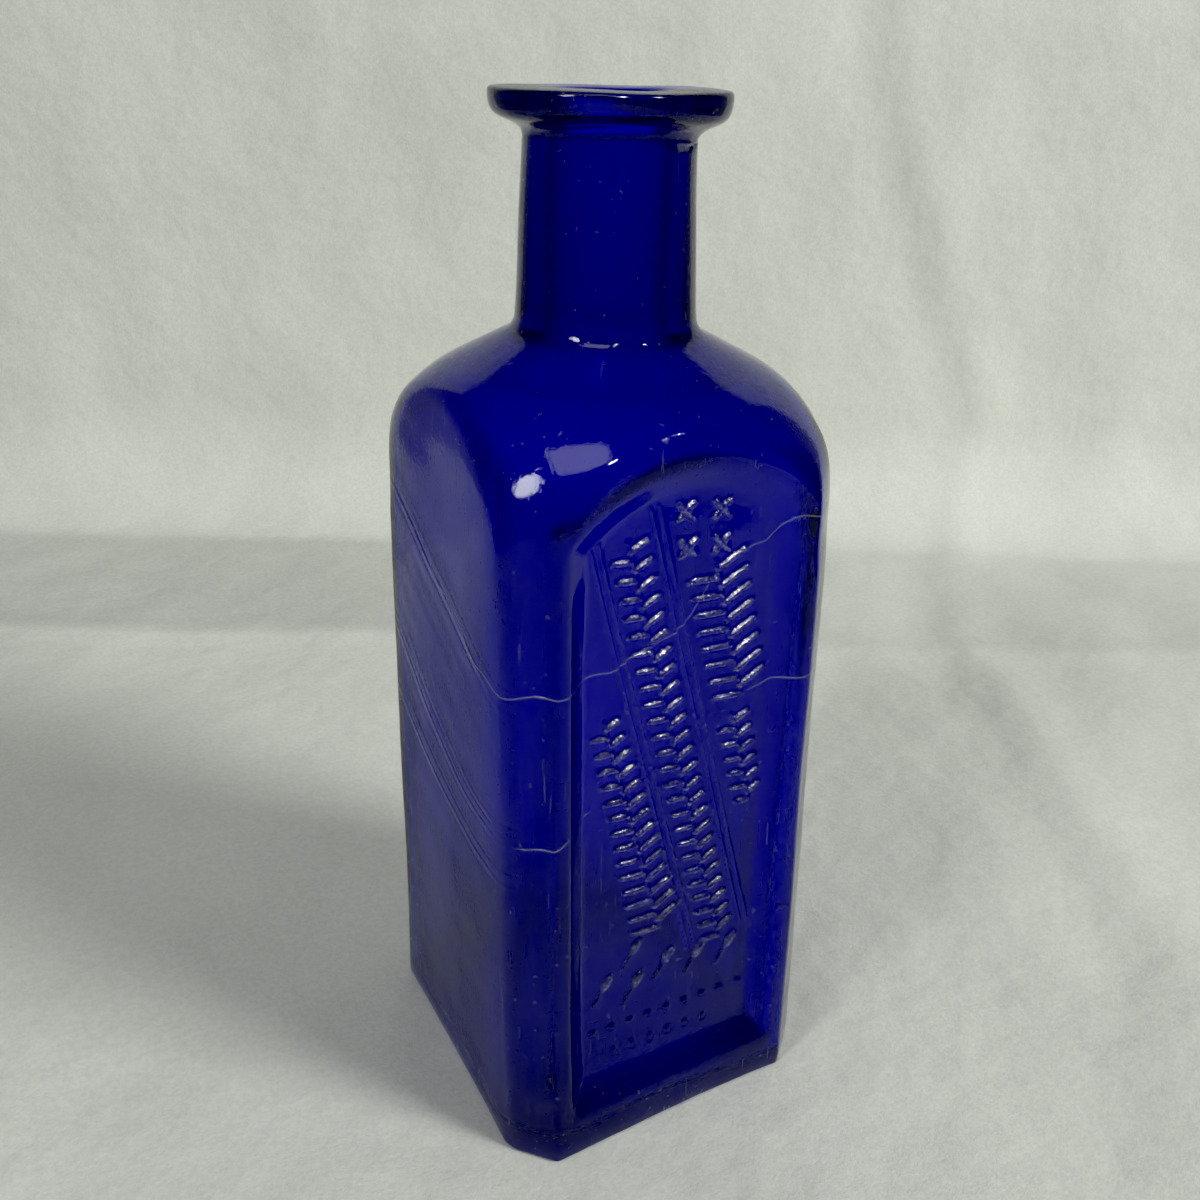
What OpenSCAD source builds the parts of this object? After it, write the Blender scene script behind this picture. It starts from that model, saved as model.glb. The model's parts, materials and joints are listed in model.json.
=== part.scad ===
// Square chemist's bottle in moulded glass: chamfered corners, domed shoulder,
// one arched sunken panel on the front (-Y) face, drawn neck and tooled flat lip.
// Origin at the centre of the foot, +Z up. The named regions meet face to face.

/* [Body] */
// Width across the front face, at the foot
foot_w = 60; // [56:0.5:64]
// Depth from front to back, at the foot
foot_d = 62; // [58:0.5:66]
// Width at the top of the shoulder arches
top_w = 57; // [55:0.5:60]
// Depth at the top of the shoulder arches
top_d = 60.5; // [57:0.5:62]
// Leg of the flat cut down each corner
corner_cut = 6.5; // [5:0.25:8]
// Thickness of the side walls
wall = 3.6; // [2.5:0.1:4.5]
// Height at which the walls end and the shoulder begins
body_top = 128; // [127.5:0.25:129]

/* [Foot] */
// Height of the foot slab, which is the floor of the bottle
foot_h = 4; // [3.5:0.5:7]
// Size of the small bevel round the foot
heel_cut = 1.2; // [0.6:0.2:2]
// Radius of the shallow hollow under the foot
pushup_r = 21; // [16:0.5:23]
// Depth of the shallow hollow under the foot
pushup_depth = 1.5; // [1:0.25:3.5]

/* [Panel] */
// Half width of the panel's flat floor
panel_half_w = 17; // [14:0.25:17.5]
// Lowest line of the panel's flat floor
panel_low = 12.2; // [11.5:0.1:16]
// Top of the arch of the panel's flat floor
panel_high = 117.5; // [110:0.5:118]
// Radius of that arch
panel_arch_r = 23.5; // [20:0.5:28]
// How far the floor is sunk behind the front face
panel_depth = 3.4; // [2:0.1:3.6]
// Width of the sloping border, seen from the front
panel_slope = 3.6; // [2.5:0.1:4]

/* [Ornament] */
// Height of the raised ornament above the panel's floor
relief_h = 0.7; // [0.4:0.1:1]
// Lean of the ornament bands from upright, in degrees
band_lean = 14.7; // [12:0.1:16]
// Width of each raised line
line_w = 0.5; // [0.4:0.05:0.8]
// Distance between the two lines of a double rule
line_gap = 1.1; // [0.9:0.1:1.5]
// Width of the garlands' leaves
leaf_w = 1.2; // [0.8:0.1:1.5]

/* [Shoulder] */
// Largest radius of the dome that rounds the shoulder
dome_r = 37.8; // [37.7:0.1:39]
// Height at which the dome starts
dome_low = 108.5; // [107:0.1:110]
// Rise of the dome above that height
dome_rise = 27; // [26:0.1:27.5]
// Fullness of the dome's curve, where 2 is an ellipse
dome_power = 2.2; // [2:0.1:2.5]
// Radius inside which the shoulder runs straight up to the neck
cone_r = 24.5; // [22:0.5:26]
// Slope of that straight stretch, in degrees
cone_slope = 28; // [22:1:30]
// Rounding where the neck leaves the shoulder
neck_fillet = 3.2; // [2:0.1:4]

/* [Neck and lip] */
// Radius of the neck where it leaves the shoulder
neck_low_r = 14.1; // [13.5:0.1:14.5]
// Radius of the neck under the lip
neck_high_r = 12.9; // [12.6:0.1:13.4]
// Radius of the bore that takes the cork
bore_r = 8; // [7:0.1:9]
// Height at which the lip starts
lip_low = 164.2; // [163:0.1:165]
// Height of the mouth, which is the height of the bottle
mouth_z = 170; // [169:0.5:172]
// Radius of the lip
lip_r = 18; // [17:0.1:19]

/* [Hidden] */
$fn = 96;
glass = "mediumblue";
eps = 0.01;
far = 100;

// Half sizes of the walls' outside at a height
function half_w(z) = (foot_w + (top_w - foot_w) * z / body_top) / 2;
function half_d(z) = (foot_d + (top_d - foot_d) * z / body_top) / 2;
// Distance of a corner cut from the axis at a height
function half_c(z) = (half_w(z) + half_d(z) - corner_cut) / sqrt(2);
// The dome's height at a radius
function dome_z(r) = dome_low + dome_rise * pow(1 - pow(min(r / dome_r, 1), dome_power), 1 / dome_power);
// Where the straight stretch of the shoulder would meet the neck
cone_top = dome_z(cone_r) + (cone_r - neck_low_r) * tan(cone_slope);
// Where the neck's own wall starts, above the fillet
neck_start = cone_top + neck_fillet * tan((90 - cone_slope) / 2);
// The front face half way up the panel, from which the panel's depth is measured
panel_middle = (panel_low + panel_high) / 2;
panel_y = -half_d(panel_middle);

// A slab between two heights with sloping sides, cut by its half width at each end
module wedge(low, high, half_low, half_high) {
    rotate([90, 0, 0])
        linear_extrude(2 * far, center = true)
            polygon([[-half_low, low], [half_low, low], [half_high, high], [-half_high, high]]);
}

// The chamfered, slightly tapering block, set in from the outside by an inset
module block(low, high, inset) {
    intersection() {
        wedge(low, high, half_w(low) - inset, half_w(high) - inset);
        rotate([0, 0, 90]) wedge(low, high, half_d(low) - inset, half_d(high) - inset);
        rotate([0, 0, 45]) wedge(low, high, half_c(low) - inset, half_c(high) - inset);
        rotate([0, 0, -45]) wedge(low, high, half_c(low) - inset, half_c(high) - inset);
    }
}

// Points down the shoulder's profile, from the cone to the foot of the dome
function dome_points(inset) = [
    for (i = [0:14])
        let (r = cone_r + (dome_r - cone_r) * sin(90 * i / 14))
        [r - inset * r / dome_r, dome_z(r) - inset]
];

// The domed solid of revolution under the shoulder's outside or inside
module dome(low, high, inset) {
    intersection() {
        rotate_extrude()
            polygon(concat(
                [[0, low], [0, cone_top + (neck_low_r) * tan(cone_slope) - inset]],
                dome_points(inset),
                [[dome_r - inset, low]]
            ));
        translate([-far, -far, low]) cube([2 * far, 2 * far, high - low]);
    }
}

// The sunken panel as a solid to take away, grown outwards by a margin
module panel_recess(margin, back) {
    run = panel_slope / panel_depth;
    front = 2;
    half_in = panel_half_w + margin;
    half_out = half_in + panel_slope + front * run;
    arch_mid = panel_high - panel_arch_r;
    deep = panel_depth + front;
    low_in = panel_low - margin;
    translate([0, panel_y + panel_depth + back, 0])
        intersection() {
            union() {
                translate([0, 0, arch_mid])
                    rotate([90, 0, 0])
                        cylinder(h = deep, r1 = panel_arch_r + margin,
                                 r2 = panel_arch_r + margin + deep * run);
                translate([-far, -deep, 0]) cube([2 * far, deep, arch_mid]);
            }
            linear_extrude(far * 2)
                polygon([[-half_in, 0], [half_in, 0], [half_out, -deep], [-half_out, -deep]]);
            rotate([90, 0, 90])
                linear_extrude(2 * far, center = true)
                    polygon([[0, low_in], [0, 2 * far], [-deep, 2 * far], [-deep, low_in - deep * run]]);
        }
}

module foot() {
    color(glass)
        difference() {
            intersection() {
                block(0, foot_h, 0);
                wedge(0, foot_h, half_w(0) - heel_cut, half_w(0) - heel_cut + foot_h);
                rotate([0, 0, 90]) wedge(0, foot_h, half_d(0) - heel_cut, half_d(0) - heel_cut + foot_h);
                rotate([0, 0, 45]) wedge(0, foot_h, half_c(0) - heel_cut, half_c(0) - heel_cut + foot_h);
                rotate([0, 0, -45]) wedge(0, foot_h, half_c(0) - heel_cut, half_c(0) - heel_cut + foot_h);
            }
            pushup();
        }
}

// The shallow hollow under the foot, part of a large ball
module pushup() {
    ball_r = (pushup_r * pushup_r + pushup_depth * pushup_depth) / (2 * pushup_depth);
    translate([0, 0, pushup_depth - ball_r]) sphere(ball_r);
}

module body() {
    color(glass)
        difference() {
            intersection() {
                block(foot_h, body_top, 0);
                dome(foot_h, body_top, 0);
            }
            difference() {
                intersection() {
                    block(foot_h - 1, body_top + 1, wall);
                    dome(foot_h - 1, body_top + 1, wall);
                }
                panel_recess(wall, wall);
            }
            panel_recess(0, 0);
        }
}

// A double rule along a band, from one place on it to another
module double_rule(across, from, to) {
    for (side = [-1, 1])
        translate([across + side * line_gap / 2 - line_w / 2, from])
            square([line_w, to - from]);
}

// A pointed leaf that grows up from its stalk, the overlap of two discs
module leaf(length, width) {
    r = (length * length + width * width) / (4 * width);
    translate([0, length / 2])
        intersection() {
            translate([r - width / 2, 0]) circle(r);
            translate([width / 2 - r, 0]) circle(r);
        }
}

// A stem with a pair of leaves at each step, which grow longer from one end to the other
module garland(across, from, to, count, leaf_from, leaf_to) {
    translate([across - line_w / 2, from]) square([line_w, to - from]);
    for (i = [0:count - 1])
        for (side = [-1, 1])
            translate([across, from + (to - from) * (i + (side + 1) / 4) / count])
                rotate(-side * 74)
                    leaf(leaf_from + (leaf_to - leaf_from) * i / (count - 1), leaf_w);
}

// A small flower of four petals
module flower(size) {
    for (turn = [45, 135]) rotate(turn) translate([0, -size / 2]) leaf(size, size * 0.32);
}

// A bud on a thin stalk
module bud() {
    leaf(2.6, 1.6);
    translate([-0.2, -4]) square([0.4, 4.5]);
}

// The ornament's outline on the panel, seen from the front with x to the right
module ornament_plan() {
    translate([0, panel_middle])
        rotate(band_lean) {
            double_rule(-3.6, -32, 49);
            double_rule(7.1, -33, 50.5);
            garland(1.8, -33, 47, 25, 3.2, 3.2);
            garland(12.9, -8, 10, 6, 2.6, 3);
            garland(15.2, 13, 38, 8, 5, 5.4);
            garland(-8.6, -24, 20, 14, 5, 2.6);
        }
    for (place = [[-0.6, 114.2], [5.6, 113.8], [0, 108.4], [5.8, 108.2]])
        translate(place) flower(3.4);
    for (place = [[-12.6, 30], [-7, 36], [-6.6, 28.6], [-0.6, 31.5], [5.6, 30.6], [12, 30.4]])
        translate(place) rotate(-32) bud();
    for (i = [-4:4])
        translate([i * 3.7, 21.2]) circle(0.8);
    for (i = [-3:2])
        translate([i * 3.7 + 0.4, 16]) rotate(45) square(1.3, center = true);
}

module panel_ornament() {
    color(glass)
        translate([0, panel_y + panel_depth, 0])
            rotate([90, 0, 0])
                linear_extrude(relief_h)
                    ornament_plan();
}

module shoulder() {
    color(glass)
        rotate_extrude()
            difference() {
                polygon(concat(
                    [[0, body_top], [0, neck_start]],
                    [[neck_low_r, neck_start]],
                    fillet_points(),
                    [for (p = dome_points(0)) if (p[1] > body_top) p],
                    [[dome_radius(body_top), body_top]]
                ));
                shoulder_bore();
            }
}

// Points round the fillet between neck and shoulder
function fillet_points() = [
    for (i = [0:6])
        let (a = 180 + (90 - cone_slope) * i / 6)
        [neck_low_r + neck_fillet + neck_fillet * cos(a), neck_start + neck_fillet * sin(a)]
];

// The dome's radius at a height above its start
function dome_radius(z) = dome_r * pow(1 - pow((z - dome_low) / dome_rise, dome_power), 1 / dome_power);

// The inside of the shoulder, closing in to the bore
module shoulder_bore() {
    polygon([
        [0, body_top - eps],
        [dome_radius(body_top) - wall, body_top - eps],
        [cone_r - wall, dome_z(cone_r) - wall],
        [bore_r, cone_top - wall],
        [bore_r, neck_start + eps],
        [0, neck_start + eps]
    ]);
}

module neck() {
    color(glass)
        rotate_extrude()
            polygon([
                [bore_r, neck_start],
                [neck_low_r, neck_start],
                [neck_high_r, lip_low],
                [bore_r, lip_low]
            ]);
}

module lip() {
    color(glass)
        rotate_extrude()
            polygon([
                [bore_r, lip_low],
                [neck_high_r, lip_low],
                [neck_high_r + 0.6, lip_low + 0.7],
                [lip_r - 1.2, lip_low + 2.4],
                [lip_r - 0.5, lip_low + 3],
                [lip_r, mouth_z - 0.6],
                [lip_r - 0.6, mouth_z],
                [bore_r, mouth_z]
            ]);
}

foot();
body();
panel_ornament();
shoulder();
neck();
lip();
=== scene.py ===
"""An antique square chemist's bottle in cobalt glass, on a pale studio sweep. Units are metres."""
import json
import math

import bpy
import numpy as np
from mathutils import Matrix, Quaternion, Vector

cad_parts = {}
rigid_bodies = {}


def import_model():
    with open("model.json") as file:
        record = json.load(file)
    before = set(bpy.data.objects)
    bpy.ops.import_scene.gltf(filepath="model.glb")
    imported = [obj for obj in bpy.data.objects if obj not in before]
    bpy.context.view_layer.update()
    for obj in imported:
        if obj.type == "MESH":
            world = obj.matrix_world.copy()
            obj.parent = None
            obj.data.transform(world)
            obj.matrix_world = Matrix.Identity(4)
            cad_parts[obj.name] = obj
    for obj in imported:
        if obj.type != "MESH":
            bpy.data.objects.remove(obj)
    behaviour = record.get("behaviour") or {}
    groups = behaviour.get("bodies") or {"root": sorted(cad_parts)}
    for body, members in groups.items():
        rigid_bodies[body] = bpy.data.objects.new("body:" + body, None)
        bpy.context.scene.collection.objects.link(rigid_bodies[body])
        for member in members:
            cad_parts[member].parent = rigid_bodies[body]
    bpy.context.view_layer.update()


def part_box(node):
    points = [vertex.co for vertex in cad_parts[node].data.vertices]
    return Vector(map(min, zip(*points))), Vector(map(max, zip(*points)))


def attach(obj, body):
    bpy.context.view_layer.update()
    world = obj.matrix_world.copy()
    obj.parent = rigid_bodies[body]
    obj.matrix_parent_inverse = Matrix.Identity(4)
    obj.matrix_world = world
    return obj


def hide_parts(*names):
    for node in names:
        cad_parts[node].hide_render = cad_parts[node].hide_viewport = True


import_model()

MM = 0.001

# ---------------------------------------------------------------- sizes, in millimetres
foot_low, foot_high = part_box("foot")
body_low, body_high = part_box("body")
neck_low, neck_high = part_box("neck")
lip_low, lip_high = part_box("lip")

FOOT_W = (foot_high.x - foot_low.x) / MM
FOOT_D = (foot_high.y - foot_low.y) / MM
BODY_TOP = body_high.z / MM
TOP_W = 57.0
TOP_D = 60.5
CORNER_CUT = 6.5
# Rounding of the eight upright edges, from the front left one round by the right
CORNER_ROUND = (1.6, 1.6, 2.4, 3.5, 3.5, 3.5, 2.4, 5.5)
INNER_WALL = 3.3
FLOOR_THICK = 2.3

# The body's foot spreads at the front left corner: how far from it, how far up and how much each way
SPREAD_REACH = 44
SPREAD_TOP = 32
SPREAD_X = 0.1
SPREAD_Y = 1.7
# The heel's rounding at the corners, and how much more of it there is half way along a face
HEEL_ROUND = 0.8
HEEL_ROUND_MORE = 0.6
# The shallow hollow under the foot
PUSHUP_R = 21.5
PUSHUP_DEPTH = 1.5

PANEL_HALF = 17.0
PANEL_LOW = 12.2
PANEL_HIGH = 117.5
PANEL_ARCH = 23.5
PANEL_DEPTH = 3.4
PANEL_SLOPE = 3.6
PANEL_MIDDLE = (PANEL_LOW + PANEL_HIGH) / 2
# Under the arch the panel gets shallower and its border wider, over these heights
ARCH_EASE_LOW = 92
ARCH_EASE_HIGH = 110
ARCH_SHALLOWER = 0.5
ARCH_WIDER = 1.6

DOME_R = 37.8
DOME_LOW = 108.5
DOME_RISE = 27.0
DOME_POWER = 2.2
CONE_R = 24.5
CONE_SLOPE = math.radians(28)
NECK_FILLET = 3.2

NECK_START = neck_low.z / MM
NECK_LOW_R = (neck_high.x - neck_low.x) / MM / 2
NECK_HIGH_R = 12.9
BORE_R = 8.0
LIP_START = lip_low.z / MM
MOUTH_Z = lip_high.z / MM
LIP_R = (lip_high.x - lip_low.x) / MM / 2
# The lip's edge and top, as radius and depth below its flat top, from the neck to the mouth
LIP_EDGE = (
    (12.86, 7.2), (12.9, 6.7), (13.05, 6.2), (13.4, 5.7), (14.1, 5.2), (15.0, 4.75), (15.95, 4.35),
    (16.65, 3.95), (17.12, 3.45), (17.42, 2.8), (17.58, 2.1), (17.66, 1.45), (17.66, 0.95),
    (17.56, 0.55), (17.3, 0.3), (16.9, 0.2), (16.2, 0.11), (15.0, 0.03), (13.6, 0.0), (12.2, 0.0),
    (10.6, 0.06), (9.6, 0.16), (8.95, 0.28), (8.5, 0.5), (8.2, 0.85),
)
LIP_EDGE_R = 17.72
LIP_DROP = 0.14


# ---------------------------------------------------------------- helpers
def smin(a, b, k):
    """The smaller of two values, rounded over a width k where they meet."""
    h = np.clip(0.5 + 0.5 * (b - a) / k, 0, 1)
    return b * (1 - h) + a * h - k * h * (1 - h)


def smax(a, b, k):
    """The larger of two values, rounded over a width k where they meet."""
    return -smin(-a, -b, k)


def step(a, b, x):
    """0 below a, 1 above b and smooth between."""
    t = np.clip((x - a) / (b - a), 0, 1)
    return t * t * (3 - 2 * t)


def ripple(x, y, z, scale, seed):
    """A smooth seeded unevenness between about -1 and 1, with bumps of about the scale's size."""
    rng = np.random.default_rng(seed)
    total = 0
    for _ in range(7):
        d = rng.normal(size=3)
        d /= np.linalg.norm(d)
        k = 2 * math.pi / (scale * rng.uniform(0.7, 1.6))
        total = total + np.sin((x * d[0] + y * d[1] + z * d[2]) * k + rng.uniform(0, 6.3))
    return total / 3.2


def half_w(z):
    """Half the body's width at a height."""
    return (FOOT_W + (TOP_W - FOOT_W) * z / BODY_TOP) / 2


def half_d(z):
    """Half the body's depth at a height."""
    return (FOOT_D + (TOP_D - FOOT_D) * z / BODY_TOP) / 2


# ---------------------------------------------------------------- outline of the body
def front_columns():
    """Where the columns of points stand across the front face, in millimetres from its middle."""
    floor_edge = PANEL_HALF + 0.4
    floor = np.linspace(-floor_edge, floor_edge, 122)
    side = np.linspace(floor_edge, PANEL_HALF + PANEL_SLOPE + 0.5, 9)[1:]
    return np.concatenate([-side[::-1], floor, side])


FRONT_X = front_columns()
SIDE_STEPS = 14
CUT_STEPS = 4
ROUND_STEPS = 5
MARGIN_STEPS = 4
LEAST_MARGIN = 0.15


def outline(z, inset):
    """One ring round the body at a height, moved in by an inset.

    Gives rows of (x, y), the face that each point is on, and its place across that face. Faces are
    numbered round from the front, with a half for the rounded corner after each."""
    pts, face, across = [], [], []
    hw, hd = half_w(z) - inset, half_d(z) - inset
    cut = CORNER_CUT - inset * (2 - math.sqrt(2))
    corners = [
        (-hw + cut, -hd), (hw - cut, -hd), (hw, -hd + cut), (hw, hd - cut),
        (hw - cut, hd), (-hw + cut, hd), (-hw, hd - cut), (-hw, -hd + cut),
    ]
    corners = [np.array(c, float) for c in corners]
    rounding = [max(r - inset * 0.3, 0.4) for r in CORNER_ROUND]
    setback = [r * math.tan(math.radians(22.5)) for r in rounding]
    for i in range(8):
        a, b = corners[i], corners[(i + 1) % 8]
        radius, before, after = rounding[(i + 1) % 8], setback[i], setback[(i + 1) % 8]
        along = (b - a) / np.linalg.norm(b - a)
        out = np.array([along[1], -along[0]])
        length = np.linalg.norm(b - a)
        # the straight stretch
        if i == 0:
            edge = length / 2 - after
            squeeze = min(1.0, (edge - LEAST_MARGIN) / FRONT_X[-1])
            margin = np.linspace(FRONT_X[-1] * squeeze, edge, MARGIN_STEPS)[1:]
            for x in np.concatenate([-margin[::-1], FRONT_X * squeeze, margin]):
                pts.append((a + b) / 2 + along * x)
                face.append(0)
                across.append(x)
        else:
            steps = CUT_STEPS if i % 2 else SIDE_STEPS
            for t in np.linspace(0, 1, steps + 1):
                s = before + (length - before - after) * t
                pts.append(a + along * s)
                face.append(i)
                across.append(s - length / 2)
        # the rounded corner after it
        centre = b - along * after - out * radius
        start = math.atan2(out[1], out[0])
        for j in range(1, ROUND_STEPS):
            ang = start + math.radians(45) * j / ROUND_STEPS
            pts.append(centre + radius * np.array([math.cos(ang), math.sin(ang)]))
            face.append(i + 0.5)
            across.append(0)
    return np.array(pts), np.array(face), np.array(across)


# ---------------------------------------------------------------- the sunken panel and its ornament
def panel_distance(x, z):
    """How far outside the panel's flat floor a point of the front face is, and below 0 on the floor."""
    mid = PANEL_HIGH - PANEL_ARCH
    side = np.abs(x) - PANEL_HALF
    low = PANEL_LOW - z
    far_inside = -9.0
    arch = np.where(z > mid, np.hypot(x, z - mid) - PANEL_ARCH, far_inside)
    return smax(smax(side, arch, 1.0), low, 1.0)


def panel_sink(x, z):
    """How far the front face is sunk at a point, less and with a gentler edge under the arch."""
    gentle = step(ARCH_EASE_LOW, ARCH_EASE_HIGH, z)
    t = (panel_distance(x, z) + ARCH_WIDER / 2 * gentle) / (PANEL_SLOPE + ARCH_WIDER * gentle)
    t = smax(smin(t, 1.0, 0.22), 0.0, 0.22)
    return (PANEL_DEPTH - ARCH_SHALLOWER * gentle) * (1 - t)


BAND_LEAN = math.radians(14.7)
LEAF_LEAN = math.radians(74)
BUD_LEAN = math.radians(32)
# Each double rule: its place across the bands, and its lower and upper ends along them
RULES = ((-3.6, -32, 49), (7.1, -33, 50.5))
# Each garland: its place across, lower and upper ends, count of leaf pairs, first and last leaf length
GARLANDS = (
    (1.8, -33, 47, 25, 3.2, 3.2), (12.9, -8, 10, 6, 2.6, 3.0),
    (15.2, 13, 38, 8, 5.0, 5.4), (-8.6, -24, 20, 14, 5.0, 2.6),
)
FLOWERS = ((-0.6, 114.2), (5.6, 113.8), (0, 108.4), (5.8, 108.2))
BUDS = ((-12.6, 30), (-7, 36), (-6.6, 28.6), (-0.6, 31.5), (5.6, 30.6), (12, 30.4))
DOT_SPACING = 3.7
LEAF_TALL = 0.8
LINE_TALL = 0.5


def band_point(across, along):
    """From places across and along the leaning bands to x and z on the panel."""
    x = across * math.cos(BAND_LEAN) - along * math.sin(BAND_LEAN)
    z = across * math.sin(BAND_LEAN) + along * math.cos(BAND_LEAN)
    return x, z + PANEL_MIDDLE


def ornament_strokes():
    """Every stroke as (x0, z0, x1, z1, half width, is a leaf)."""
    strokes = []

    def line(p, q, half):
        strokes.append((*p, *q, half, False))

    def leaf(p, angle, length, half):
        q = (p[0] + math.cos(angle) * length, p[1] + math.sin(angle) * length)
        strokes.append((*p, *q, half, True))

    for across, low, high in RULES:
        for side in (-0.7, 0.7):
            line(band_point(across + side, low), band_point(across + side, high), 0.2)
    upright = math.pi / 2 + BAND_LEAN
    for across, low, high, count, first, last in GARLANDS:
        line(band_point(across, low), band_point(across, high), 0.12)
        for i in range(count):
            for side in (-1, 1):
                along = low + (high - low) * (i + (side + 1) / 4) / count
                length = first + (last - first) * i / (count - 1)
                leaf(band_point(across, along), upright - side * LEAF_LEAN, length, 0.42)
    for x, z in FLOWERS:
        for k in range(4):
            leaf((x, z), math.radians(45 + 90 * k), 1.8, 0.55)
    for x, z in BUDS:
        up = math.pi / 2 - BUD_LEAN
        leaf((x, z), up, 2.6, 0.85)
        line((x, z), (x - 4 * math.cos(up), z - 4 * math.sin(up)), 0.3)
    # two rows of dots, the upper ones a little wider and the lower ones a little taller
    for i in range(-4, 5):
        line((i * DOT_SPACING - 0.2, 21.2), (i * DOT_SPACING + 0.2, 21.2), 0.75)
    for i in range(-3, 3):
        line((i * DOT_SPACING + 0.4, 15.7), (i * DOT_SPACING + 0.4, 16.3), 0.7)
    return strokes


def relief(x, z):
    """Height of the ornament above the panel's floor over a grid of points, and how rubbed it is there."""
    height = np.zeros_like(x)
    rubbed = np.zeros_like(x)
    near = 1.6
    for x0, z0, x1, z1, half, is_leaf in ornament_strokes():
        tall, wear, flank = (LEAF_TALL, 1.0, 0.4) if is_leaf else (LINE_TALL, 0.15, 0.3)
        pick = (
            (x > min(x0, x1) - near) & (x < max(x0, x1) + near)
            & (z > min(z0, z1) - near) & (z < max(z0, z1) + near)
        )
        if not pick.any():
            continue
        px, pz = x[pick] - x0, z[pick] - z0
        dx, dz = x1 - x0, z1 - z0
        length2 = dx * dx + dz * dz
        t = np.clip((px * dx + pz * dz) / length2, 0, 1)
        dist = np.hypot(px - t * dx, pz - t * dz)
        width = half * (0.35 + 0.65 * np.sin(math.pi * t)) if is_leaf else half
        rise = 1 - step(0.05, 1.0, dist / (width + flank))
        height[pick] = np.maximum(height[pick], tall * rise)
        rubbed[pick] = np.maximum(rubbed[pick], wear * np.clip(rise * 2.5, 0, 1))
    return height, rubbed


# ---------------------------------------------------------------- the outside, ring by ring
def dome_height(r):
    """Height of the dome at a radius."""
    r = np.minimum(r / DOME_R, 1)
    return DOME_LOW + DOME_RISE * (1 - r ** DOME_POWER) ** (1 / DOME_POWER)


CONE_TOP = float(dome_height(CONE_R)) + (CONE_R - NECK_LOW_R) * math.tan(CONE_SLOPE)


def shoulder_profile():
    """Radius and height pairs down the shoulder, from the neck's wall to the dome's foot."""
    pts = []
    for i in range(9):
        a = math.pi + (math.pi / 2 - CONE_SLOPE) * i / 8
        pts.append((
            NECK_LOW_R + NECK_FILLET * (1 + math.cos(a)),
            NECK_START + NECK_FILLET * math.sin(a),
        ))
    r0, z0 = pts[-1]
    for i in range(1, 9):
        r = r0 + (CONE_R - r0) * i / 8
        pts.append((r, z0 - (r - r0) * math.tan(CONE_SLOPE)))
    for i in range(1, 61):
        r = CONE_R + (DOME_R - CONE_R) * math.sin(math.pi / 2 * i / 60)
        pts.append((r, float(dome_height(r))))
    return np.array(pts)


SHOULDER = shoulder_profile()


def shoulder_radius(z):
    """Radius of the shoulder's surface of revolution at a height."""
    zs, rs = SHOULDER[::-1, 1], SHOULDER[::-1, 0]
    return np.interp(z, zs, rs)


LEAN_X = -0.46
LEAN_Y = 0.55


def lean(x, y, z):
    """The slight sideways set of the neck over the foot, as the bottle cooled."""
    t = step(0, 115, z)
    return x + LEAN_X * t, y + LEAN_Y * t


def body_rows():
    """Heights of the rings from above the heel to the neck, close together where the relief is."""
    panel_from, panel_to = PANEL_LOW - 0.6, PANEL_HIGH + 0.9
    low = np.linspace(3.2, panel_from, 14)
    panel = np.arange(panel_from, panel_to, 0.34)[1:]
    dome = np.arange(panel_to, 133.8, 0.40)[1:]
    fillet = np.linspace(dome[-1], NECK_START, 16)[1:]
    return np.concatenate([low, panel, dome, fillet])


# Rings in the heel's rounding, and the height that its outline is taken at
HEEL_STEPS = 7
HEEL_Z = 1.0


def outer_body():
    """Rings of points up the heel, the body with its panel, and the shoulder, and how rubbed each is."""
    rings = []
    heel, face = heel_radius()
    for i in range(HEEL_STEPS):
        a = math.pi / 2 * i / HEEL_STEPS
        insets = heel * (1 - math.sin(a))
        ring = np.array([outline_point(j, inset) for j, inset in enumerate(insets)])
        rings.append(np.column_stack([ring, heel * (1 - math.cos(a))]))
    for z in body_rows():
        pts = outline(z, 0.0)[0]
        rings.append(np.column_stack([pts, np.full(len(pts), z)]))
    grid = np.array(rings)
    x, y, z = grid[..., 0], grid[..., 1], grid[..., 2]
    on_front = np.broadcast_to(face == 0, z.shape)
    sink = np.where(on_front, panel_sink(x, z), 0)
    flat = np.where(on_front, step(0.6, 0.0, panel_distance(x, z) + 0.3), 0)
    raised, rubbed = relief(x, z)
    rubbed = rubbed * flat
    y = y + sink - raised * flat
    # the heel spreads a little at the front left corner
    from_corner = np.hypot(x + FOOT_W / 2 - CORNER_CUT, y + FOOT_D / 2)
    spread = np.clip(1 - from_corner / SPREAD_REACH, 0, 1) * step(SPREAD_TOP, 0, z)
    x, y = x - SPREAD_X * spread, y - SPREAD_Y * spread
    # soft unevenness of a blown and moulded wall
    wave = 0.16 * ripple(x, y, z, 34, 3) + 0.03 * ripple(x, y, z, 9, 4)
    r = np.hypot(x, y)
    x, y = x * (1 + wave / r), y * (1 + wave / r)
    # the shoulder's dome cuts off the walls, and lower down this limit widens past them
    r = np.hypot(x, y)
    limit = shoulder_radius(z) + 0.08 * ripple(x, y, z, 25, 5)
    limit = limit + 0.35 * step(135, 128, z) + 0.02 * np.maximum(DOME_LOW - z, 0) ** 2
    soft = np.where(face == 0, 1.2 + step(12, 23, np.abs(x)), 2.2)
    cut = smin(r, limit, soft)
    x, y = x * cut / r, y * cut / r
    x, y = lean(x, y, z)
    return np.stack([x, y, z], axis=-1), rubbed


heel_outlines = {}


def outline_point(j, inset):
    """One point of the heel's outline at an inset. Outlines are kept, because many points share one."""
    key = round(inset, 3)
    if key not in heel_outlines:
        heel_outlines[key] = outline(HEEL_Z, key)[0]
    return heel_outlines[key][j]


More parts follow.
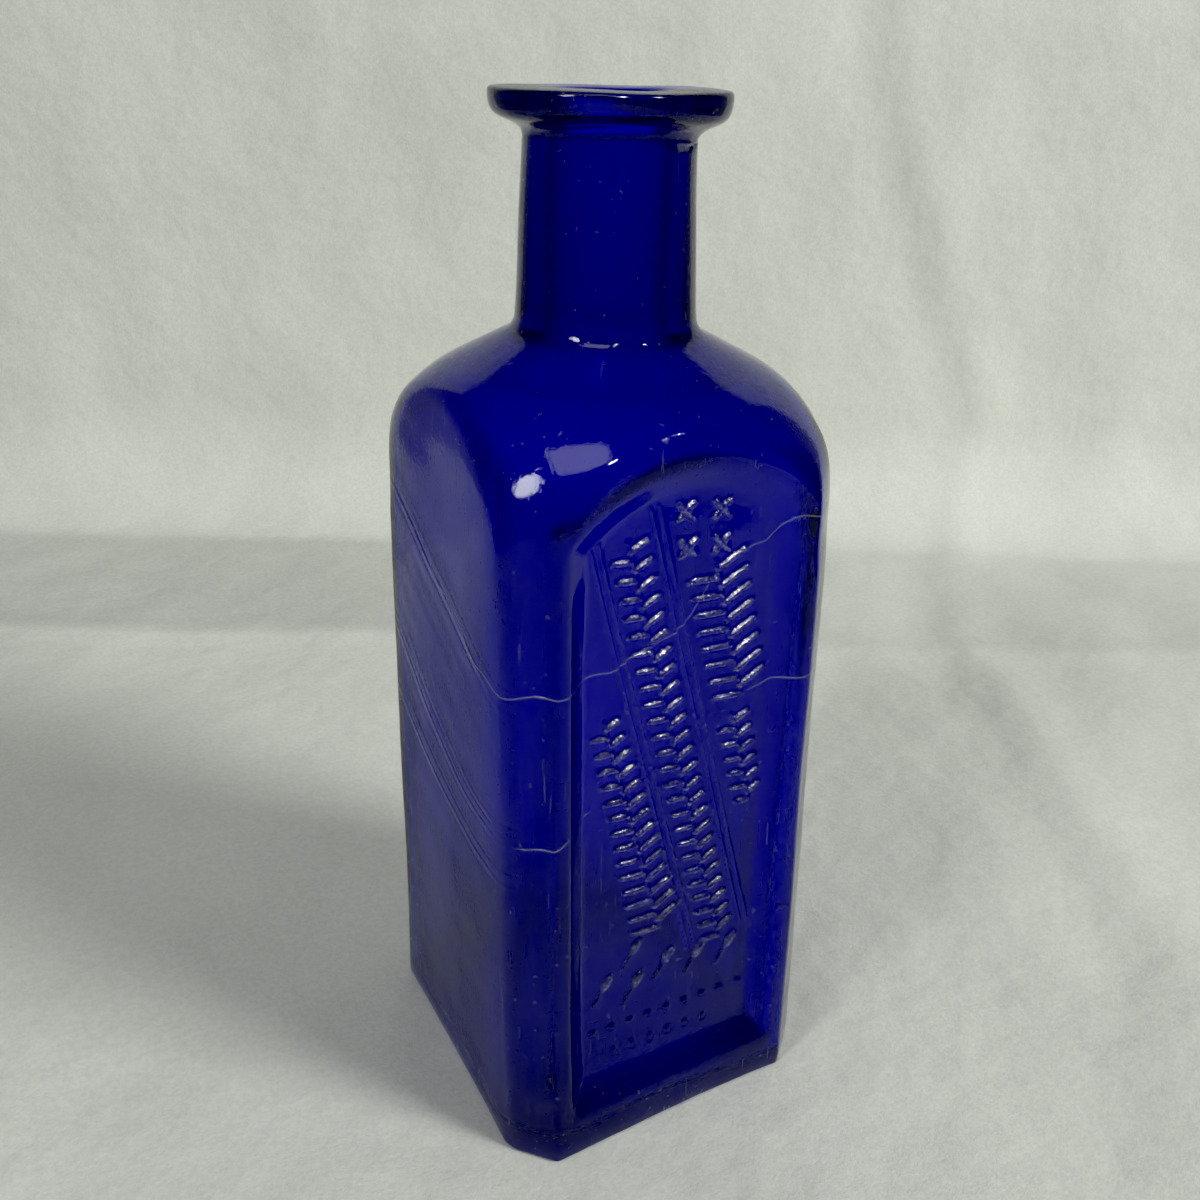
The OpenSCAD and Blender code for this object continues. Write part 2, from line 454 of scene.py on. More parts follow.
def heel_radius():
    """The heel's rounding at each point, larger half way along each face, and each point's face."""
    _, face, across = outline(HEEL_Z, 0.0)
    half = np.where(face == 0, half_w(0) - CORNER_CUT, half_d(0) - CORNER_CUT)
    t = np.clip(1 - (across / half) ** 2, 0, 1)
    wide = (face % 2 == 0)
    return HEEL_ROUND + np.where(wide, HEEL_ROUND_MORE * t, 0.0), face


def under_foot(first):
    """Rings from the foot's edge in to the middle of the shallow hollow under it."""
    rings = []
    ang = np.arctan2(first[:, 1], first[:, 0])
    circle = np.column_stack([np.cos(ang), np.sin(ang)])
    for t in np.linspace(0.2, 1, 5):
        ring = first[:, :2] * (1 - t) + circle * PUSHUP_R * t
        rings.append(np.column_stack([ring, np.zeros(len(ring))]))
    for r in (20.6, 19.6, 18, 15.5, 12.5, 9.5, 6.5, 3.5, 1.2):
        z = PUSHUP_DEPTH * (1 - (r / PUSHUP_R) ** 2) ** 1.1 * step(PUSHUP_R, PUSHUP_R - 3, r)
        ring = circle * r
        z = z + 0.12 * ripple(ring[:, 0], ring[:, 1], 0, 14, 8)
        rings.append(np.column_stack([ring, np.maximum(z, 0.02)]))
    return rings


def neck_and_lip(last):
    """Rings up the neck, round the lip and over its flat top to the mouth."""
    ang = np.arctan2(last[:, 1] - LEAN_Y, last[:, 0] - LEAN_X)
    cos, sin = np.cos(ang), np.sin(ang)
    rings = []

    def ring(r, z):
        rings.append(np.column_stack([cos * r + LEAN_X, sin * r + LEAN_Y, z * np.ones(len(ang))]))

    for z in np.linspace(NECK_START, LIP_START - 1.5, 22)[1:]:
        t = (z - NECK_START) / (LIP_START - NECK_START)
        r = NECK_LOW_R + (NECK_HIGH_R - NECK_LOW_R) * t ** 0.8
        ring(r + 0.07 * ripple(cos * r, sin * r, z, 16, 11), z)
    # a tooled lip is a little uneven in its outline, its thickness and its top
    edge_wave = 0.16 * np.sin(ang * 2 + 0.7) + 0.10 * np.sin(ang * 3 + 2.1) + 0.05 * np.sin(ang * 7 + 1.0)
    thick_wave = 0.07 * np.sin(ang + 0.9) + 0.05 * np.sin(ang * 3 + 4.0)
    top_wave = 0.10 * np.sin(ang * 2 + 1.9) + 0.05 * np.sin(ang * 5 + 0.4)
    for r, depth in LIP_EDGE:
        thick = 1 + thick_wave * step(0.5, 4.0, depth)
        z = MOUTH_Z - LIP_DROP - depth * thick + top_wave * step(6.0, 0.0, depth)
        ring(r + (edge_wave + LIP_R - LIP_EDGE_R) * step(12.8, 17.5, r), z)
    return rings


# ---------------------------------------------------------------- the inside
INNER_N = 176
INNER_DOME_R = DOME_R - 3.3
INNER_DOME_RISE = DOME_RISE - 3.2
INNER_DOME_START = 21.5
INNER_CONE_R = 19.5
CONE_THICK = 3.8
THROAT_R = 7.0
# The throat's bend turns 63 degrees, which takes it out and down by these shares of its radius
THROAT_TURN = math.radians(63)
THROAT_OUT = 0.546
THROAT_DOWN = 0.891
INNER_BEND = 2.6
# Past every wall, so that the walls set the radius
NO_LIMIT = 60.0
# How round the hollow's outline is: a high power keeps its faces flat and its corners tight
INNER_SQUARE = 24.0
# How much nearer the outside than its faces the hollow comes at each of its corners, from the back
# right one by the back left and front left to the front right
INNER_CORNER = (0.8, 0.8, -1.3, 1.9)


def inner_wall(ang, z):
    """How far the inside of the body's walls is from the axis, by angle, at one height."""
    side, ends = half_w(z) - INNER_WALL, half_d(z) - INNER_WALL
    cut = (half_w(z) + half_d(z) - CORNER_CUT) / math.sqrt(2) - INNER_WALL
    total = 0.0
    for k in range(8):
        reach = cut + INNER_CORNER[k // 2] if k % 2 else (side if k % 4 == 0 else ends)
        total = total + (np.maximum(np.cos(ang - math.pi / 4 * k), 0) / reach) ** INNER_SQUARE
    r = total ** (-1 / INNER_SQUARE)
    # behind the panel the wall comes in with it
    x = r * np.cos(ang)
    front = -np.sin(ang)
    on_panel = 1 - step(-0.5, 7.2, panel_distance(x, np.full(len(ang), z)))
    sunk = 3.2 * on_panel * step(0.5, 0.72, front)
    return r - sunk / np.maximum(front, 0.5)


def inner_rings():
    """Rings from the mouth down the bore, through the shoulder and walls, to the middle of the floor."""
    ang = np.linspace(-math.pi, math.pi, INNER_N, endpoint=False)
    cos, sin = np.cos(ang), np.sin(ang)
    past_bend = NECK_LOW_R - BORE_R - THROAT_R * THROAT_OUT
    throat_z = CONE_TOP - 0.3 - CONE_THICK + past_bend * math.tan(CONE_SLOPE) + THROAT_R * THROAT_DOWN
    profile = [(BORE_R, z) for z in np.linspace(MOUTH_Z - 1.3, throat_z, 18)]
    for i in range(1, 12):
        a = math.pi + THROAT_TURN * i / 11
        profile.append((BORE_R + THROAT_R * (1 + math.cos(a)), throat_z + THROAT_R * math.sin(a)))
    r0, z0 = profile[-1]
    for i in range(1, 5):
        r = r0 + (INNER_CONE_R - r0) * i / 4
        profile.append((r, z0 - (r - r0) * math.tan(CONE_SLOPE)))
    for i in range(30):
        r = INNER_DOME_START + (INNER_DOME_R - INNER_DOME_START) * math.sin(math.pi / 2 * i / 29)
        up = INNER_DOME_RISE * max(0.0, 1 - (r / INNER_DOME_R) ** DOME_POWER) ** (1 / DOME_POWER)
        profile.append((r, DOME_LOW + up))
    profile += [(NO_LIMIT, z) for z in np.linspace(104.2, FLOOR_THICK + INNER_BEND + 1, 44)]
    for i in range(10):
        profile.append((NO_LIMIT, FLOOR_THICK + INNER_BEND * (1 - math.sin(math.pi / 2 * i / 10))))
    rings = []
    for limit, z in profile:
        r = np.full(INNER_N, float(limit))
        if z < BODY_TOP:
            r = smin(inner_wall(ang, z), r, 2.5)
        if z < FLOOR_THICK + INNER_BEND:
            up = (z - FLOOR_THICK) / INNER_BEND
            r = r - INNER_BEND * (1 - math.sqrt(max(0.0, 1 - (1 - up) ** 2)))
        uneven = 0.16 * ripple(r * cos, r * sin, z, 30, 23) + 0.02 * ripple(r * cos, r * sin, z, 10, 24)
        r = r + uneven * (0.35 + 0.65 * float(step(140, 120, z)))
        x, y = lean(r * cos, r * sin, z)
        dip = 1.7 * np.abs(np.sin(2 * ang)) ** 1.8 * float(step(14, FLOOR_THICK, z))
        rings.append(np.column_stack([x, y, z - dip]))
    base = rings[-1]
    for t in (0.85, 0.68, 0.5, 0.34, 0.2, 0.08):
        ring = base.copy()
        ring[:, :2] *= t
        uneven = 0.12 * ripple(ring[:, 0], ring[:, 1], 0, 18, 27)
        ring[:, 2] = FLOOR_THICK - 0.1 - dip * t ** 3 + 0.7 * (1 - t * t) + uneven
        rings.append(ring)
    return rings


# ---------------------------------------------------------------- mesh assembly
def ring_faces(a, b, n):
    """Four-sided faces between two rings of n points that start at points a and b."""
    return [(a + i, a + (i + 1) % n, b + (i + 1) % n, b + i) for i in range(n)]


def bridge(verts, a, na, b, nb):
    """Triangles between two rings with different counts, matched by direction from their middles."""
    def order(start, count):
        ring = np.array(verts[start:start + count])
        middle = ring[:, :2].mean(0)
        ang = np.arctan2(ring[:, 1] - middle[1], ring[:, 0] - middle[0])
        first = int(np.argmin(ang))
        places = [(first + k) % count for k in range(count)]
        turns = [float(ang[k]) for k in places]
        return [start + k for k in places], turns + [turns[0] + 2 * math.pi]

    points_a, turns_a = order(a, na)
    points_b, turns_b = order(b, nb)
    faces, i, j = [], 0, 0
    while i < na or j < nb:
        if j >= nb or (i < na and turns_a[i + 1] <= turns_b[j + 1]):
            faces.append((points_a[i % na], points_a[(i + 1) % na], points_b[j % nb]))
            i += 1
        else:
            faces.append((points_a[i % na], points_b[(j + 1) % nb], points_b[j % nb]))
            j += 1
    return faces


def bottle_mesh():
    """The glass as one closed mesh: the outside from the pushed-up middle to the mouth, then the inside."""
    grid, rubbed = outer_body()
    n = grid.shape[1]
    under = under_foot(grid[0])
    upper = neck_and_lip(grid[-1])
    outer = under[::-1] + list(grid) + upper
    verts, faces, starts = [], [], []
    for ring in outer:
        starts.append(len(verts))
        verts.extend(ring.tolist())
    for a, b in zip(starts[:-1], starts[1:]):
        faces += ring_faces(a, b, n)
    centre = len(verts)
    verts.append([0.0, 0.0, float(outer[0][:, 2].mean())])
    faces += [(centre, starts[0] + (i + 1) % n, starts[0] + i) for i in range(n)]
    inner = inner_rings()
    inner_starts = []
    for ring in inner:
        inner_starts.append(len(verts))
        verts.extend(ring.tolist())
    faces += bridge(verts, starts[-1], n, inner_starts[0], INNER_N)
    for a, b in zip(inner_starts[:-1], inner_starts[1:]):
        faces += ring_faces(a, b, INNER_N)
    last = inner_starts[-1]
    centre = len(verts)
    verts.append([0.0, 0.0, float(inner[-1][:, 2].mean())])
    faces += [(last + i, last + (i + 1) % INNER_N, centre) for i in range(INNER_N)]
    mesh = bpy.data.meshes.new("bottle_glass")
    mesh.from_pydata([(x * MM, y * MM, z * MM) for x, y, z in verts], [], faces)
    mesh.polygons.foreach_set("use_smooth", [True] * len(mesh.polygons))
    mesh.update()
    first = len(under) * n
    on_ornament = np.zeros(len(verts))
    on_ornament[first:first + rubbed.size] = rubbed.ravel()
    mesh.attributes.new("ornament", "FLOAT", "POINT").data.foreach_set("value", on_ornament)
    mark_surface(mesh, inner_starts[0])
    return mesh


# Cracks as places round the bottle, in degrees from the front's middle, and heights
CRACKS = (
    ((-113, 104.5), (-96, 97.8), (-76, 93.5), (-67, 90.2), (-52, 88.5), (-38, 89.5), (-33.4, 89.7),
     (-24.7, 90.6), (-16.5, 92.5), (-4.5, 94.5), (1.7, 97.0), (9, 102.2), (15.4, 105.1), (26.7, 107.4),
     (33, 110.6), (46, 111)),
    ((23.8, 81.2), (30, 82.3), (34, 83.5), (47, 85.5)),
    ((-49, 62.8), (-38, 63.2), (-34, 65), (-30, 66.2)),
)


def mark_surface(mesh, first_inner):
    """Stores on each point what the glass material reads there.

    inside: 1 on the inner surface, and part of that on the lip's top. cord: the place across the left
    face's cords. left_side: 1 on the left face. underside: 1 under the foot. crack_dist and
    crack_fade: how far each crack is, and how strong it is there."""
    n = len(mesh.vertices)
    co = np.empty(n * 3)
    mesh.vertices.foreach_get("co", co)
    x, y, z = (co.reshape(-1, 3) / MM).T
    inner = (np.arange(n) >= first_inner).astype(float)
    dull = np.maximum(inner, 0.7 * step(168.8, 169.5, z))
    # the cords bow low down on the face and slope further up
    back = y + 20
    steep = step(58, 88, z)
    cord = z - 0.45 * steep * back - 0.0062 * (1 - steep) * back * back
    dist = np.zeros((n, len(CRACKS)))
    fade = np.zeros((n, len(CRACKS)))
    turn = np.degrees(np.arctan2(x, -y))
    two_degrees = 2 * math.radians(32)  # as an arc in millimetres, 32 mm from the axis
    for k, crack in enumerate(CRACKS):
        at, height = np.array(crack).T
        shift = 0.35 * ripple(turn, 0, 0, 9, 41 + k)
        slope = (np.interp(turn + 1, at, height) - np.interp(turn - 1, at, height)) / two_degrees
        dist[:, k] = (z - np.interp(turn, at, height) - shift) / np.sqrt(1 + slope ** 2)
        fade[:, k] = step(at[0], at[0] + 4, turn) * step(at[-1], at[-1] - 2, turn) * (1 - inner)
    under = step(0.6, 0.1, z) * (1 - inner)
    side = step(-0.6, -0.95, -np.abs(x) / np.maximum(np.hypot(x, y), 1)) * (x < 0)
    for name, values in (("inside", dull), ("cord", cord), ("left_side", side), ("underside", under)):
        mesh.attributes.new(name, "FLOAT", "POINT").data.foreach_set("value", values)
    mesh.attributes.new("crack_dist", "FLOAT_VECTOR", "POINT").data.foreach_set("vector", dist.ravel())
    mesh.attributes.new("crack_fade", "FLOAT_VECTOR", "POINT").data.foreach_set("vector", fade.ravel())


# ---------------------------------------------------------------- materials
class Nodes:
    """Short calls for building a material."""

    def __init__(self, name):
        self.mat = bpy.data.materials.new(name)
        self.mat.use_nodes = True
        self.tree = self.mat.node_tree
        self.tree.nodes.clear()
        self.out = self.add("ShaderNodeOutputMaterial")

    def add(self, kind, **values):
        """A new node with its properties set."""
        node = self.tree.nodes.new(kind)
        for name, value in values.items():
            setattr(node, name, value)
        return node

    def put(self, socket, value):
        """Links another node's output to a socket, or sets a plain value on it."""
        if hasattr(value, "is_output"):
            self.tree.links.new(value, socket)
        else:
            socket.default_value = value

    def set(self, node, **values):
        """Puts each value into the input of that name."""
        for name, value in values.items():
            self.put(node.inputs[name], value)

    def math(self, operation, *values):
        node = self.add("ShaderNodeMath", operation=operation)
        for socket, value in zip(node.inputs, values):
            self.put(socket, value)
        return node.outputs[0]

    def place(self):
        return self.add("ShaderNodeTexCoord").outputs["Object"]

    def stretched(self, scale, turn):
        """The place in the object, scaled and turned, for a noise that is longer one way."""
        node = self.add("ShaderNodeMapping")
        self.set(node, Vector=self.place(), Scale=scale, Rotation=turn)
        return node.outputs[0]

    def noise(self, scale, detail, rough=0.5, vector=None):
        node = self.add("ShaderNodeTexNoise")
        self.set(node, Vector=vector or self.place(), Scale=scale, Detail=detail, Roughness=rough)
        return node.outputs["Fac"]

    def ramp(self, value, low, high, to_low=0.0, to_high=1.0):
        """A smooth change from to_low, where the value is low, to to_high, where it is high."""
        node = self.add("ShaderNodeMapRange", interpolation_type="SMOOTHSTEP")
        for socket, number in zip(node.inputs, (value, low, high, to_low, to_high)):
            self.put(socket, number)
        return node.outputs[0]

    def attribute(self, name, output="Fac"):
        return self.add("ShaderNodeAttribute", attribute_name=name).outputs[output]

    def bump(self, height, distance, normal=None):
        node = self.add("ShaderNodeBump")
        self.set(node, Strength=1.0, Distance=distance, Height=height)
        if normal is not None:
            self.put(node.inputs["Normal"], normal)
        return node.outputs[0]


# Where the cords of the left face lie, from its lowest to its highest, each with its strength
CORDS = (
    (52.6, 0.5), (54.4, 1.0), (55.6, 0.7), (60.8, 0.6), (62.2, 1.0), (63.4, 0.8), (64.8, 0.5),
    (69.5, 0.4), (76.0, 0.5), (80.5, 0.35), (85.6, 0.8), (87.4, 1.0), (89.0, 0.6), (96.0, 0.35),
)
CORD_LOW, CORD_HIGH = 45.0, 105.0


def cord_height(n):
    """The fine ridges that run across the left face, as a height."""
    wander = n.math("MULTIPLY", n.math("SUBTRACT", n.noise(45, 1), 0.5), 2.2)
    place = n.math("ADD", n.attribute("cord"), wander)
    ramp = n.add("ShaderNodeValToRGB")
    n.put(ramp.inputs[0], n.math("DIVIDE", n.math("SUBTRACT", place, CORD_LOW), CORD_HIGH - CORD_LOW))
    black = (0, 0, 0, 1)
    stops = ramp.color_ramp.elements
    stops[0].color = black
    stops[1].color = black
    crests = [(at - CORD_LOW) / (CORD_HIGH - CORD_LOW) for at, _ in CORDS]
    for crest, (_, tall) in zip(crests, CORDS):
        stops.new(crest).color = (tall, tall, tall, 1)
    for a, b in zip(crests[:-1], crests[1:]):
        stops.new((a + b) / 2).color = black
    ramp.color_ramp.interpolation = "B_SPLINE"
    return n.math("MULTIPLY", ramp.outputs[0], n.attribute("left_side"))


def crack_mask(n, width):
    """1 on the cracks and 0 off them, and half way at the width."""
    dist = n.add("ShaderNodeSeparateXYZ")
    fade = n.add("ShaderNodeSeparateXYZ")
    n.put(dist.inputs[0], n.attribute("crack_dist", "Vector"))
    n.put(fade.inputs[0], n.attribute("crack_fade", "Vector"))
    total = 0.0
    for k in range(len(CRACKS)):
        near = n.ramp(n.math("ABSOLUTE", dist.outputs[k]), 0.0, width * 2, 1.0, 0.0)
        total = n.math("MAXIMUM", total, n.math("MULTIPLY", near, fade.outputs[k]))
    return total


def glass_material():
    """Cobalt glass, dull on its inside, with cords, cracks, specks and scratches.

    Rubbed ornament, dust and cracks show pale through a rough coat, which covers only those places."""
    n = Nodes("cobalt_glass")
    bsdf = n.add("ShaderNodeBsdfPrincipled")
    bsdf.inputs["Base Color"].default_value = (1, 1, 1, 1)
    bsdf.inputs["Transmission Weight"].default_value = 1.0
    bsdf.inputs["IOR"].default_value = 1.5
    cracks = crack_mask(n, 0.12)
    worn = n.ramp(n.noise(70, 4, 0.6), 0.52, 0.72)
    specks = n.ramp(n.noise(900, 1), 0.71, 0.76)
    streaks = n.stretched((1, 1, 0.05), (0.5, 0.3, 0.2))
    scratches = n.ramp(n.noise(2300, 1, 0.5, streaks), 0.725, 0.765)
    marks = n.math("MAXIMUM", specks, scratches)
    # roughness: clean glass, and what each kind of wear adds to it
    rough = n.math("ADD", 0.03, n.math("MULTIPLY", worn, 0.07))
    rough = n.math("ADD", rough, n.math("MULTIPLY", n.attribute("inside"), 0.26))
    rough = n.math("ADD", rough, n.math("MULTIPLY", n.attribute("underside"), 0.95))
    rough = n.math("ADD", rough, n.math("MULTIPLY", n.math("MAXIMUM", marks, cracks), 0.35))
    n.put(bsdf.inputs["Roughness"], rough)
    # the pale coat
    ornament = n.attribute("ornament")
    grain = n.ramp(n.noise(2300, 2, 0.6), 0.45, 0.6)
    rubbed = n.math("MULTIPLY", ornament, n.math("ADD", 0.18, n.math("MULTIPLY", grain, 0.82)))
    dust = n.math("MULTIPLY", marks, 0.3)
    pale_cracks = n.math("MULTIPLY", cracks, 0.8)
    n.put(bsdf.inputs["Coat Weight"], n.math("MAXIMUM", dust, n.math("MAXIMUM", rubbed, pale_cracks)))
    bsdf.inputs["Coat Roughness"].default_value = 0.28
    bsdf.inputs["Coat IOR"].default_value = 2.8
    # bumps: the wavy wall, its grain, the rubbed ornament, the cords, the specks and the cracks
    normal = n.bump(n.noise(110, 1), 0.00005)
    normal = n.bump(n.noise(1500, 2, 0.6), 0.000017, normal)
    normal = n.bump(n.math("MULTIPLY", n.noise(2600, 2, 0.6), ornament), 0.00014, normal)
    normal = n.bump(cord_height(n), 0.0002, normal)
    normal = n.bump(marks, 0.00003, normal)
    normal = n.bump(cracks, 0.00012, normal)
    n.put(bsdf.inputs["Normal"], normal)
    absorption = n.add("ShaderNodeVolumeAbsorption")
    absorption.inputs["Color"].default_value = (0.11, 0.042, 0.86, 1)
    absorption.inputs["Density"].default_value = 720.0
    n.put(n.out.inputs["Surface"], bsdf.outputs["BSDF"])
    n.put(n.out.inputs["Volume"], absorption.outputs["Volume"])
    return n.mat


def backdrop_material():
    """Pale cloth with faint patches, flecks, a fine grain, a band of painted shade past the fold and a
    weave.
    """
    n = Nodes("pale_sweep")
    bsdf = n.add("ShaderNodeBsdfPrincipled")
    bsdf.inputs["Roughness"].default_value = 0.9
    bsdf.inputs["Specular IOR Level"].default_value = 0.2
    patches = n.ramp(n.noise(16, 3, 0.55), 0.3, 0.7)
    flecks = n.ramp(n.noise(420, 2, 0.6), 0.70, 0.76)
    grain = n.ramp(n.noise(800, 4, 0.7), 0.36, 0.64)
    dim = n.math("ADD", n.math("MULTIPLY", patches, 0.08), n.math("MULTIPLY", flecks, 0.07))
    dim = n.math("ADD", dim, n.math("MULTIPLY", grain, 0.11))
    # painted shade: the band past the pressed fold is darkened in the cloth's colour
    dim = n.math("ADD", dim, n.math("MULTIPLY", n.attribute("painted_fold_shade"), 0.34))
    mix = n.add("ShaderNodeMix", data_type="RGBA")
    n.put(mix.inputs["Factor"], dim)
    mix.inputs["A"].default_value = (0.78, 0.80, 0.715, 1)
    mix.inputs["B"].default_value = (0.20, 0.215, 0.20, 1)
    n.put(bsdf.inputs["Base Color"], mix.outputs["Result"])
    # light that comes down through the glass, which a shadow in the render leaves out
    bsdf.inputs["Emission Color"].default_value = (0.75, 0.8, 1.0, 1)
    n.put(bsdf.inputs["Emission Strength"], n.math("MULTIPLY", n.attribute("below"), 0.15))
    weave = n.bump(n.noise(1400, 3, 0.7), 0.00012)
    crumple = n.bump(n.noise(30, 3, 0.6), 0.002, weave)
    n.put(bsdf.inputs["Normal"], crumple)
    n.put(n.out.inputs["Surface"], bsdf.outputs["BSDF"])
    return n.mat


# ---------------------------------------------------------------- studio
CAMERA_PLACE = Vector((-0.0900, -0.1665, 0.1750))
CAMERA_TURN = math.radians(28.27)
CAMERA_DOWN = math.radians(24.53)
CAMERA_ROLL = math.radians(1.40)
CAMERA_LENS = 36.32


def camera():
    """The camera at the photograph's viewing angle."""
    cam = bpy.data.objects.new("camera", bpy.data.cameras.new("camera"))
    bpy.context.scene.collection.objects.link(cam)
    cam.data.sensor_width = 36
    cam.data.lens = CAMERA_LENS
    cam.data.clip_start = 0.01
    ahead = Vector((
        math.sin(CAMERA_TURN) * math.cos(CAMERA_DOWN),
        math.cos(CAMERA_TURN) * math.cos(CAMERA_DOWN),
        -math.sin(CAMERA_DOWN),
    ))
    right = Vector((math.cos(CAMERA_TURN), -math.sin(CAMERA_TURN), 0))
    up = right.cross(ahead)
    rolled_right = right * math.cos(CAMERA_ROLL) + up * math.sin(CAMERA_ROLL)
    rolled_up = up * math.cos(CAMERA_ROLL) - right * math.sin(CAMERA_ROLL)
    turn = Matrix((rolled_right, rolled_up, -ahead)).transposed()
    cam.matrix_world = Matrix.Translation(CAMERA_PLACE) @ turn.to_4x4()
    bpy.context.scene.camera = cam


# The cloth, in millimetres from the bottle's middle: where it starts to curve up, how tightly, how far
# it reaches to each side, and how far it lies below the foot
SWEEP_START = 242.0
SWEEP_BEND = 40.0
SWEEP_HALF_WIDTH = 306
SWEEP_DROP = 0.02
# The fold where it was pressed, as a place along it, where a band of painted shade on the cloth also starts
FOLD_AT = 163
# A crease in it, as places across and along
CREASE = (
    (125, 4), (122, 90), (119, 172), (138, 262), (152, 310), (130, 360), (114, 405), (98, 470), (92, 560),
)


def sweep_lift(across, along):
    """How far the cloth stands off its plain curve: soft waves, a long crease and the pressed fold."""
    near = np.hypot(across, along)
    wave = 1.1 * ripple(across, along, 0, 120, 51) + 0.45 * ripple(across, along, 0, 48, 52)
    wave = wave * (0.12 + 0.88 * step(40, 150, near))
    at_across, at_along = np.array(CREASE, float).T
    gap = across - np.interp(along, at_along, at_across) - 2.0 * ripple(along, 0, 0, 40, 53)
    crease = 1.5 * np.exp(-(gap / 9) ** 2) - 0.9 * np.exp(-((gap + 13) / 10) ** 2)
    crease = crease * step(-30, 20, along) * step(620, 500, along)
    pressed = 0.9 * np.exp(-((along - FOLD_AT) / 5) ** 2)
    lowest = np.where(near < 60, 0.0, -3.0)
    # flat under the bottle
    return np.maximum(wave + crease + pressed, lowest) * step(34, 70, near)


def sweep():
    """A pale creased cloth that lies flat under the bottle and curves up behind it."""
    away = np.array([math.sin(CAMERA_TURN), math.cos(CAMERA_TURN), 0])
    side = np.array([math.cos(CAMERA_TURN), -math.sin(CAMERA_TURN), 0])
    up = np.array([0, 0, 1.0])
    bend = SWEEP_BEND * math.pi / 2
    rows = np.concatenate([
        [-1500, -1000, -700, -520, -440, -360, -280],
        np.arange(-220, SWEEP_START, 5),
        SWEEP_START + np.linspace(0, bend, 14),
        SWEEP_START + bend + np.arange(6, 200, 6),
        SWEEP_START + bend + np.array([250, 310, 380]),
    ])
    columns = np.arange(-SWEEP_HALF_WIDTH, SWEEP_HALF_WIDTH + 1, 6)
    along, across = np.meshgrid(rows, columns, indexing="ij")
    turn = np.clip((along - SWEEP_START) / SWEEP_BEND, 0, math.pi / 2)
    back = np.minimum(along, SWEEP_START) + SWEEP_BEND * np.sin(turn)
    rise = SWEEP_BEND * (1 - np.cos(turn)) + np.maximum(along - SWEEP_START - bend, 0)
    lift = sweep_lift(across, along)
    back = back - lift * np.sin(turn)
    rise = rise + lift * np.cos(turn) - SWEEP_DROP
    places = (away * back[..., None] + side * across[..., None] + up * rise[..., None]) * MM
    index = np.arange(along.size).reshape(along.shape)
    quads = np.stack([index[:-1, :-1], index[:-1, 1:], index[1:, 1:], index[1:, :-1]], axis=-1)
    mesh = bpy.data.meshes.new("sweep")
    mesh.from_pydata(places.reshape(-1, 3).tolist(), [], quads.reshape(-1, 4).tolist())
    mesh.polygons.foreach_set("use_smooth", [True] * len(mesh.polygons))
    # painted shade past the fold: a darker band that weakens to the right and ends where the cloth curves
    # up
    painted_fold_shade = step(FOLD_AT, FOLD_AT + 3, along) * step(250, 238, along)
    painted_fold_shade = painted_fold_shade * (0.62 - 0.38 * step(-60, 120, across))
    below = step(31, 19, np.hypot(across, along))
    for name, values in (("painted_fold_shade", painted_fold_shade), ("below", below)):
        mesh.attributes.new(name, "FLOAT", "POINT").data.foreach_set("value", values.ravel())
    obj = bpy.data.objects.new("sweep", mesh)
    bpy.context.scene.collection.objects.link(obj)
    mesh.materials.append(backdrop_material())


def toward(azimuth, elevation):
    """The direction at an azimuth from +Y, clockwise from above, and an elevation, in degrees."""
    a, e = math.radians(azimuth), math.radians(elevation)
    return Vector((math.sin(a) * math.cos(e), math.cos(a) * math.cos(e), math.sin(e)))


# Power of an area lamp for each square metre and unit of radiance
WATTS_PER_RADIANCE = 4


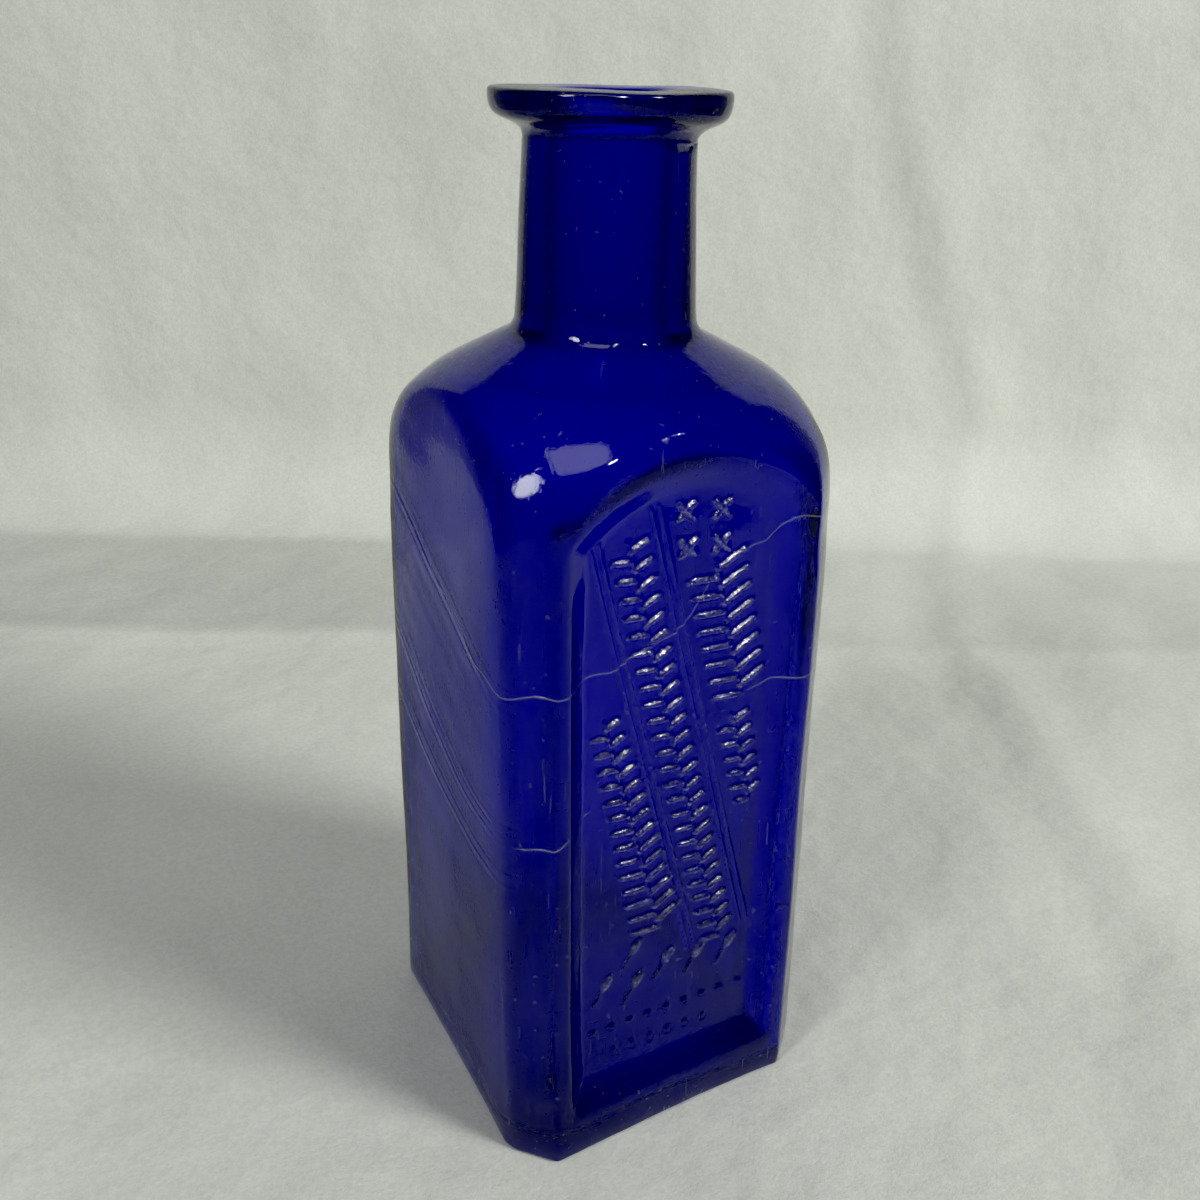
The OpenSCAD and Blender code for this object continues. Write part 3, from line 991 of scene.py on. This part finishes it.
def lamp(name, azimuth, elevation, distance, width, depth, radiance,
         target=(0, 0, 0.09), turn=0.0, shape="ELLIPSE"):
    """A soft lamp that shines on the bottle from one side, as bright as the radiance over its face."""
    data = bpy.data.lights.new(name, "AREA")
    data.shape = shape
    data.size = width
    data.size_y = depth
    area = width * depth * (1 if shape == "RECTANGLE" else math.pi / 4)
    data.energy = radiance * area * WATTS_PER_RADIANCE
    obj = bpy.data.objects.new(name, data)
    aim = toward(azimuth, elevation)
    obj.location = Vector(target) + aim * distance
    obj.rotation_mode = "QUATERNION"
    obj.rotation_quaternion = aim.to_track_quat("Z", "Y") @ Quaternion((0, 0, 1), turn)
    bpy.context.scene.collection.objects.link(obj)
    return obj


# Small bright lamps whose reflections glitter on the relief, each by direction, width and radiance
SPARKS = (("spark", -168, 52, 0.05, 240.0), ("glint", 146, 50, 0.05, 190.0))
WORLD_STRENGTH = 0.21
# What the view takes off red and green, as the photograph's deep blue has next to none of either
BLACK_LEVEL = (0.022, 0.022, 0.0)


def light():
    """Plain soft studio light: a pale world, two windows, a lamp at the left and the two small lamps.

    No lamp is seen through the glass, and the front window isn't reflected in it either."""
    world = bpy.data.worlds.new("studio")
    bpy.context.scene.world = world
    world.use_nodes = True
    background = world.node_tree.nodes["Background"]
    background.inputs["Color"].default_value = (1.0, 1.0, 1.0, 1)
    background.inputs["Strength"].default_value = WORLD_STRENGTH
    front = lamp("front_window", 142, 27, 2.0, 0.7, 0.7, 18.8)
    front.visible_glossy = False
    lamp("left_lamp", -111, 33.5, 1.5, 0.27, 0.72, 9.5, target=(-0.025, -0.024, 0.12))
    upper = lamp("upper_window", -132, 64, 1.2, 0.50, 0.42, 1.7,
                 target=(-0.0186, -0.0264, 0.1242), turn=0.5, shape="RECTANGLE")
    upper.visible_diffuse = False
    for name, azimuth, elevation, width, radiance in SPARKS:
        small = lamp(name, azimuth, elevation, 1.0, width, width, radiance)
        small.visible_diffuse = False
    for obj in bpy.context.scene.objects:
        if obj.type == "LIGHT":
            obj.visible_transmission = False
    view = bpy.context.scene.view_settings
    view.view_transform = "Standard"
    view.use_curve_mapping = True
    view.curve_mapping.black_level = BLACK_LEVEL
    view.curve_mapping.update()


def make():
    """The camera, the bottle on its body, the cloth and the light."""
    camera()
    glass = bpy.data.objects.new("bottle_glass", bottle_mesh())
    bpy.context.scene.collection.objects.link(glass)
    glass.data.materials.append(glass_material())
    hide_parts("foot", "body", "panel_ornament", "shoulder", "neck", "lip")
    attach(glass, "root")
    sweep()
    light()


make()
